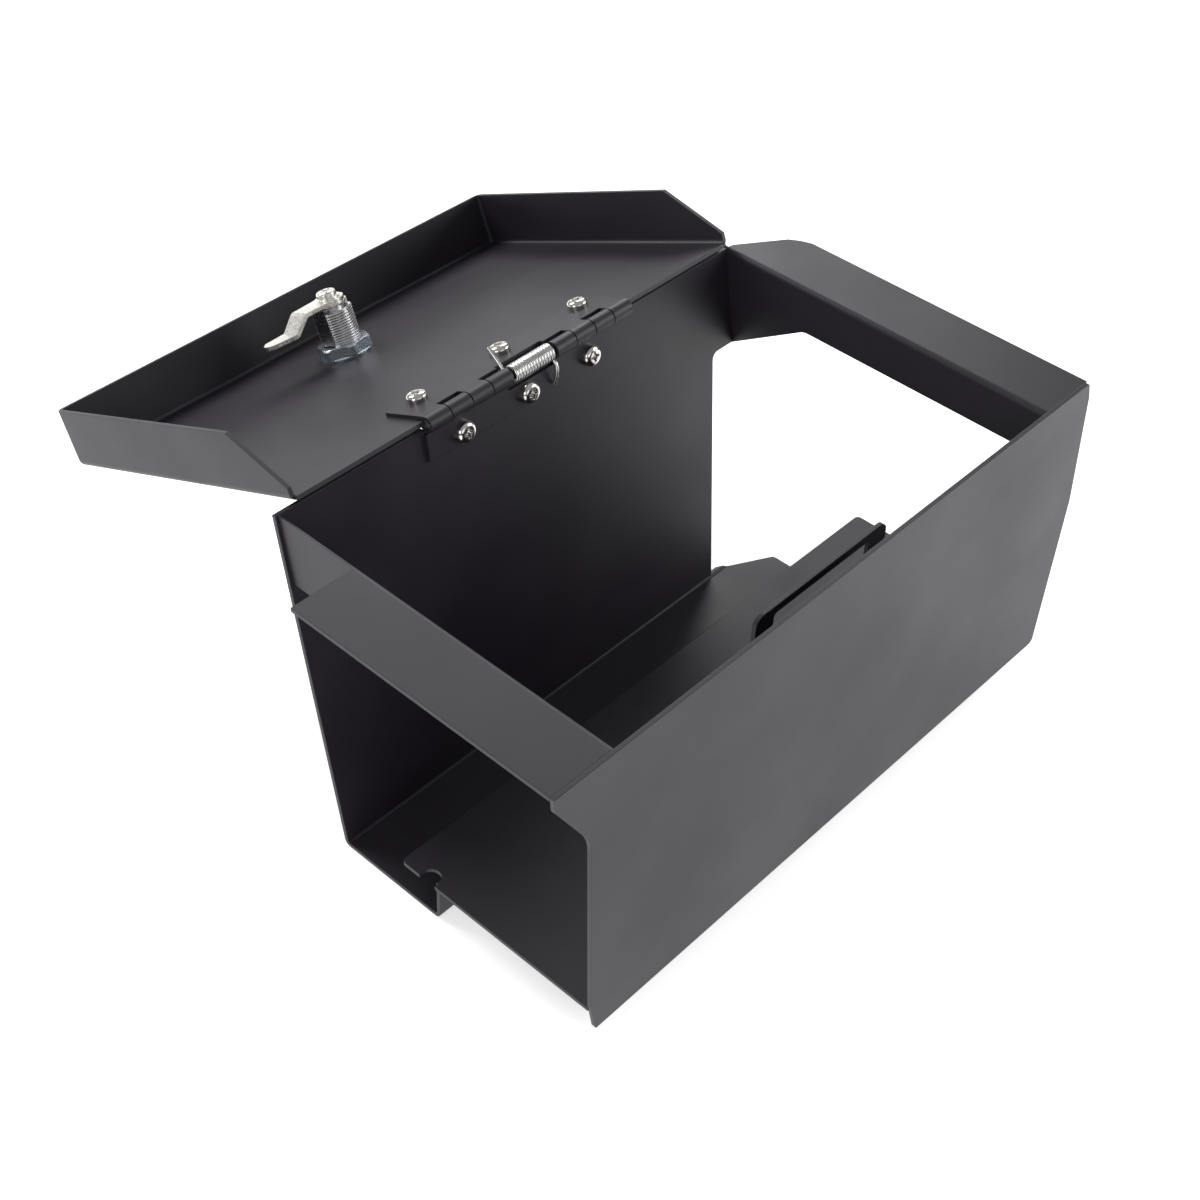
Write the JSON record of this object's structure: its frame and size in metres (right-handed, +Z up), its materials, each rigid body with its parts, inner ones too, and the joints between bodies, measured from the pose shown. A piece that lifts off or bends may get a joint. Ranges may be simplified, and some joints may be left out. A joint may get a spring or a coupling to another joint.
{
  "type": "console safe",
  "caption": "Folded-steel console safe: open-ended box with stepped floor, turned-out end ledges and a sprung flanged lid with a cam lock.",
  "frame": {"origin": "centre of the hinge and lock plane on the underside of the lower floor", "axes": "+X right along the hinge, +Y from the front panel to the back wall, +Z up"},
  "size_m": [0.351, 0.3496, 0.1883],
  "materials": {
    "powder_coat": "matte",
    "pin_steel": "satin",
    "bright_screw": "polished",
    "zinc": "satin",
    "spring_steel": "satin",
    "lock_chrome": "polished",
    "brass": "satin",
    "cam_zinc": "satin"
  },
  "bodies": {
    "box": {"rear_shell": "powder_coat", "front_panel": "powder_coat", "raised_floor": "powder_coat", "left_end_rail": "powder_coat", "right_end_rail": "powder_coat", "strike_bracket": "powder_coat", "hinge_leaf_wall": "powder_coat", "hinge_pin": "pin_steel", "wall_hinge_screws": "bright_screw", "wall_hinge_nuts": "zinc", "torsion_spring": "spring_steel"},
    "lid": {"lid_panel": "powder_coat", "hinge_leaf_lid": "powder_coat", "lid_hinge_screws": "bright_screw", "lid_hinge_nuts": "zinc", "lock_body": "lock_chrome", "lock_nut": "zinc", "lock_washer": "zinc"},
    "plug": {"lock_plug": "lock_chrome", "lock_wafers": "brass", "stop_washer": "cam_zinc", "cam": "cam_zinc", "cam_washer": "cam_zinc", "cam_screw": "cam_zinc"}
  },
  "joints": [
    {"name": "lid_hinge", "type": "hinge", "parent": "box", "child": "lid", "pos_m": [0, 0.059, 0.17595], "axis": [1, 0, 0], "range_deg": [0, 204.6], "deforming": ["torsion_spring"]},
    {"name": "lock_turn", "type": "hinge", "parent": "lid", "child": "plug", "pos_m": [-0.0065, 0.17356, 0.1235], "axis": [0, -0.4163, -0.9092], "range_deg": [0, 90]}
  ]
}
